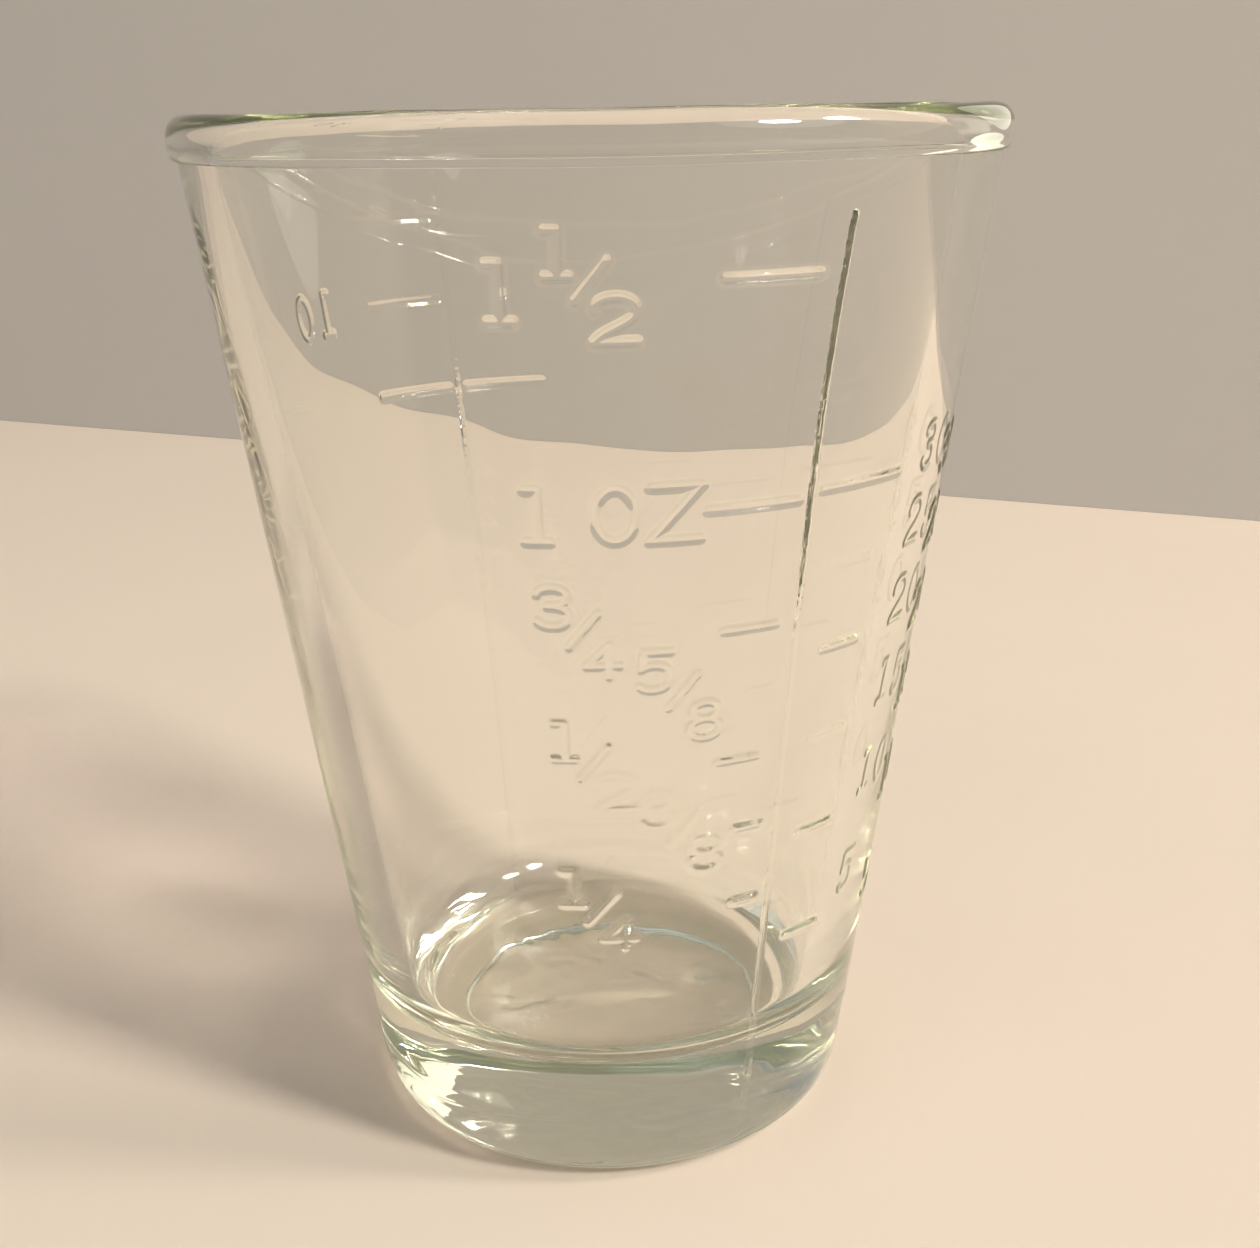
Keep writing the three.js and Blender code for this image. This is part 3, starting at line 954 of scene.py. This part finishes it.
    def wrapped(self, graph: GeometryGraph, flat: bpy.types.NodeSocket) -> bpy.types.NodeSocket:
        """Wraps flat ridges on the cone, with the waviness of the glass under them.

        Args:
            graph: the ridges' tree.
            flat: ridges drawn with x to the right, y up the slope and z out of the glass.

        Returns:
            The wrapped mesh's socket.
        """
        right, up, out = graph.split(graph.place())
        lean = graph.given("Lean")
        sine, cosine = graph.math("SINE", lean), graph.math("COSINE", lean)
        radius = graph.math("MULTIPLY_ADD", up, sine, graph.given("Radius"))
        height = graph.math("MULTIPLY_ADD", up, cosine, graph.given("Height"))
        turn = graph.math("ADD", graph.given("Angle"), graph.math("DIVIDE", right, radius))
        across = graph.math("SINE", turn)
        along = graph.math("MULTIPLY", graph.math("COSINE", turn), -1.0)
        x, y = graph.math("MULTIPLY", radius, across), graph.math("MULTIPLY", radius, along)
        surface = graph.join(x, y, height)
        proud = graph.math("ADD", out, surface_wave(graph, surface))
        level = [graph.math("MULTIPLY", cosine, part) for part in (across, along)]
        normal = graph.join(*level, graph.math("MULTIPLY", sine, -1.0))
        outward = graph.add("ShaderNodeVectorMath", {0: normal, "Scale": proud}, operation="SCALE")
        inputs = {0: surface, 1: outward.outputs[0]}
        point = graph.add("ShaderNodeVectorMath", inputs, operation="ADD")
        inputs = {"Geometry": flat, "Position": point.outputs[0]}
        return graph.add("GeometryNodeSetPosition", inputs).outputs[0]

    def strokes(self, node: str, kind: MarkKind, place: MarkPlace) -> list[np.ndarray]:
        """The flat centre lines of a mark, about its middle.

        Args:
            node: the node's name.
            kind: what it is.
            place: where it lies.

        Returns:
            Each stroke's points as rows of x, y, z.
        """
        up = place.rise / math.cos(math.atan(self.shape.outer_slope))
        width, rise = place.width - self.stroke, up - self.stroke
        if kind is MarkKind.SEAM:
            t = np.linspace(0, 1, self.seam_points)
            lean = self.seam_lean * np.clip(t * 3 - 2, 0, 1) ** 2 if node.startswith("front") else 0 * t
            return [np.column_stack([lean, (t - 0.5) * rise, 0 * t])]
        if kind is MarkKind.LINE:
            t = np.linspace(-0.5, 0.5, self.line_points)
            return [np.column_stack([t * width, 0 * t, 0 * t])]
        figure = figure_of(node)
        lines = [stroke_points(s) for s in STROKES.get(figure, [])]
        lines += [ring_points(r) for r in RINGS.get(figure, [])]
        scale = np.array([width, rise])
        return [np.column_stack([(line - 0.5) * scale, np.zeros(len(line))]) for line in lines]

    def strengths(self, node: str, kind: MarkKind, place: MarkPlace, line: np.ndarray) -> np.ndarray:
        """How strongly each point of a stroke is pressed.

        Args:
            node: the node's name.
            kind: what it is.
            place: where it lies.
            line: the stroke's points.

        Returns:
            A factor for each point.
        """
        count = len(line)
        if kind is not MarkKind.SEAM:
            worn = self.worn.get(node, self.worn.get(node.split("_")[0], 1.0))
            if kind is MarkKind.FIGURE:
                return np.full(count, worn)
            ends = np.minimum(np.arange(count), np.arange(count)[::-1]) / max(count - 1, 1)
            full = np.clip(ends / self.line_end, 0, 1)
            return worn * (self.line_end_strength + (1 - self.line_end_strength) * full)
        height = place.height + line[:, 1]
        if node.startswith("front"):
            risen = (height - self.shape.foot_top) / self.seam_foot_rise
            above_foot = np.clip(risen, self.seam_foot_trace, 1)
            sunk = np.exp((self.seam_fade_height - height) / self.seam_fade_length)
            return self.seam_trace * above_foot + (1 - self.seam_trace) / (1 + sunk)
        crest = MarkPlace.of("back_ounce_line").height - self.back_seam_drop
        swell = np.exp(-(((height - crest) / self.back_seam_spread) ** 2))
        return self.back_seam_trace + self.back_seam_swell * swell

    def build(self, finish: bpy.types.Material) -> list[bpy.types.Object]:
        """Builds every mark in the place of its node.

        Args:
            finish: the glass of the marks.

        Returns:
            The finished pieces.
        """
        tree = self.tree()
        marks = [node for node in sorted(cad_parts) if node not in GlassBody.nodes]
        pieces = []
        for node in marks:
            kind = MarkKind.of(node)
            place = MarkPlace.of(node)
            lines = self.strokes(node, kind, place)
            pressing = self.pressings[kind]
            values = {
                "Half Width": pressing.half_width,
                "Relief": pressing.relief,
                "Softness": pressing.softness,
                "Seat": self.seat,
                "Floor": self.floor,
                "Cell": pressing.cell,
                "Ragged": pressing.ragged,
                "Angle": place.angle,
                "Height": place.height,
                "Radius": self.shape.outer(place.height),
                "Lean": math.atan(self.shape.outer_slope),
                "Wave Height": WAVE_HEIGHT,
                "Wave Length": WAVE_LENGTH,
                "Material": finish,
            }
            strengths = [self.strengths(node, kind, place, line) for line in lines]
            piece = tree.run(f"raised_{node}", polyline_mesh(node, lines, strengths), values)
            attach(piece, BODY)
            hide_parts(node)
            pieces.append(piece)
        return pieces


# ---- Stage, light and camera -----------------------------------------------------------------------------


@dataclass(frozen=True)
class Lamp:
    """A round soft lamp that points at the middle of the glass. Its power is in watts."""

    name: str
    place: tuple[float, float, float]
    size: float
    power: float
    colour: tuple[float, float, float]

    def build(self) -> bpy.types.Object:
        """Adds the lamp.

        Returns:
            The lamp, which also throws its light through the glass on to the stage.
        """
        data = bpy.data.lights.new(self.name, "AREA")
        data.shape = "DISK"
        data.size = self.size
        data.energy = self.power
        data.color = self.colour
        data.cycles.is_caustics_light = True
        lamp = bpy.data.objects.new(self.name, data)
        lamp.location = self.place
        aim = Vector((0, 0, LAMP_AIM_HEIGHT)) - Vector(self.place)
        lamp.rotation_euler = aim.to_track_quat("-Z", "Y").to_euler()
        bpy.context.scene.collection.objects.link(lamp)
        return lamp


@dataclass(frozen=True)
class Card:
    """A glowing card that only shows in and through the glass, and lights nothing else."""

    name: str
    place: tuple[float, float, float]
    size: float
    glow: float
    colour: tuple[float, float, float]

    def build(self) -> None:
        """Adds the card as a lamp whose face has the card's glow."""
        power = self.glow * math.pi * math.pi * (self.size / 2) ** 2
        card = Lamp(self.name, self.place, self.size, power, self.colour).build()
        card.data.cycles.is_caustics_light = False
        card.visible_diffuse = False
        card.visible_camera = False


@dataclass
class Stage:
    """A pale cloth, a warm grey wall behind it, and soft warm light from the right."""

    floor_size: float = 1.6
    floor_gap: float = 0.05 * MM
    backdrop_height: float = 0.9
    backdrop_distance: float = 0.196
    backdrop_turn: float = math.radians(-25.0)
    cloth: StageFinish = StageFinish("pale_cloth", (0.80, 0.69, 0.58), 0.96, 30.0)
    paint: StageFinish = StageFinish("warm_grey_wall", (0.63, 0.61, 0.58), 0.94, 8.0)
    room_glow: float = 0.33
    eye_level: tuple[float, float, float] = (1.0, 0.94, 0.86)
    overhead: tuple[float, float, float] = (0.82, 0.92, 1.0)
    lights: tuple[Lamp | Card, ...] = (
        Lamp("key", (1.7, -1.18, 1.44), 0.45, 50.0, (1.0, 0.93, 0.83)),
        Lamp("second", (0.62, -0.13, 0.50), 0.16, 2.8, (1.0, 0.93, 0.83)),
        Lamp("fill", (-0.5, -0.7, 0.8), 0.8, 0.8, (1.0, 0.93, 0.86)),
        Card("low_card", (0.115, 0.115, 0.10), 0.09, 1.15, (1.0, 0.98, 0.80)),
        Card("side_card", (0.42, -0.30, 0.36), 0.34, 1.5, (1.0, 0.96, 0.84)),
        Card("roof_card", (-0.12, 0.12, 0.42), 0.26, 0.4, (0.80, 0.90, 1.0)),
    )

    def sheet(self, name: str, corners: list[tuple[float, float, float]], finish: StageFinish) -> None:
        """Adds a flat sheet of the stage.

        Args:
            name: its name.
            corners: its corners in order.
            finish: its surface.
        """
        mesh = bpy.data.meshes.new(name)
        mesh.from_pydata(corners, [], [tuple(range(len(corners)))])
        mesh.materials.append(finish.make())
        made = bpy.data.objects.new(name, mesh)
        made.cycles.is_caustics_receiver = True
        bpy.context.scene.collection.objects.link(made)

    def build(self) -> None:
        """Adds the floor, the backdrop, the lamps and the sky."""
        half = self.floor_size / 2
        low = -self.floor_gap
        floor = [(-half, -half, low), (half, -half, low), (half, half, low), (-half, half, low)]
        self.sheet("floor", floor, self.cloth)
        along = Vector((math.cos(self.backdrop_turn), math.sin(self.backdrop_turn), 0)) * half
        middle = Vector((0, self.backdrop_distance, 0))
        top = Vector((0, 0, self.backdrop_height))
        wall = [middle - along, middle + along, middle + along + top, middle - along + top]
        self.sheet("backdrop", [tuple(p) for p in wall], self.paint)
        for light in self.lights:
            light.build()
        self.sky()

    def sky(self) -> None:
        """Adds the room's light: warm at eye level, cooler overhead."""
        world = bpy.data.worlds.new("room")
        world.use_nodes = True
        graph = Graph(world.node_tree)
        background = world.node_tree.nodes["Background"]
        direction = graph.add("ShaderNodeTexCoord").outputs["Generated"]
        risen = graph.clamp_ramp(graph.split(direction)[2], 0.15, 0.8, 0.0, 1.0)
        inputs = {0: risen, 6: (*self.eye_level, 1), 7: (*self.overhead, 1)}
        tone = graph.add("ShaderNodeMix", inputs, data_type="RGBA")
        graph.feed(background.inputs["Color"], tone.outputs[2])
        background.inputs["Strength"].default_value = self.room_glow
        bpy.context.scene.world = world


@dataclass
class ViewingCamera:
    """A hand-held close view, a little above the rim's height."""

    place: tuple[float, float, float] = (1.77 * MM, -103.5 * MM, 63.0 * MM)
    look_down: float = 0.2986
    roll: float = -0.0166
    lens: float = 48.25
    sensor: float = 36.0

    def build(self) -> None:
        """Adds the camera and makes it the scene's own."""
        data = bpy.data.cameras.new("camera")
        data.lens = self.lens
        data.sensor_width = self.sensor
        data.clip_start = 0.005
        data.dof.use_dof = False
        camera = bpy.data.objects.new("camera", data)
        camera.rotation_mode = "QUATERNION"
        tilt = Euler((math.pi / 2 - self.look_down, 0, 0)).to_quaternion()
        camera.rotation_quaternion = tilt @ Quaternion((0, 0, 1), self.roll)
        camera.location = self.place
        bpy.context.scene.collection.objects.link(camera)
        bpy.context.scene.camera = camera


def set_light_paths() -> None:
    """Lets light cross enough faces of glass, and keeps the colours as they are lit."""
    cycles = bpy.context.scene.cycles
    cycles.max_bounces = 96
    cycles.transmission_bounces = 96
    cycles.glossy_bounces = 64
    cycles.transparent_max_bounces = 16
    cycles.blur_glossy = 0.3
    cycles.sample_clamp_indirect = 0.0
    bpy.context.scene.view_settings.view_transform = "Standard"


def corners(box: tuple[Vector, Vector]) -> list[list[float]]:
    """A box's two corners as plain lists of numbers."""
    return [list(corner) for corner in box]


def main() -> None:
    """Builds the glass, its stage and its camera, and reports each piece."""
    logging.basicConfig(level=logging.INFO, format="%(message)s")
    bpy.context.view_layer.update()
    ViewingCamera().build()
    Stage().build()
    set_light_paths()
    shape = CadProfile()
    body = GlassBody(shape).build(GlassFinish("clear_pressed_glass").make())
    LOG.info("%s: %d faces", body.name, len(body.data.polygons))
    for piece in RaisedMarks(shape).build(GlassFinish("raised_pressed_glass", wear=0.05).make()):
        LOG.info("%s: %d faces", piece.name, len(piece.data.polygons))


if __name__ == "__main__":
    main()
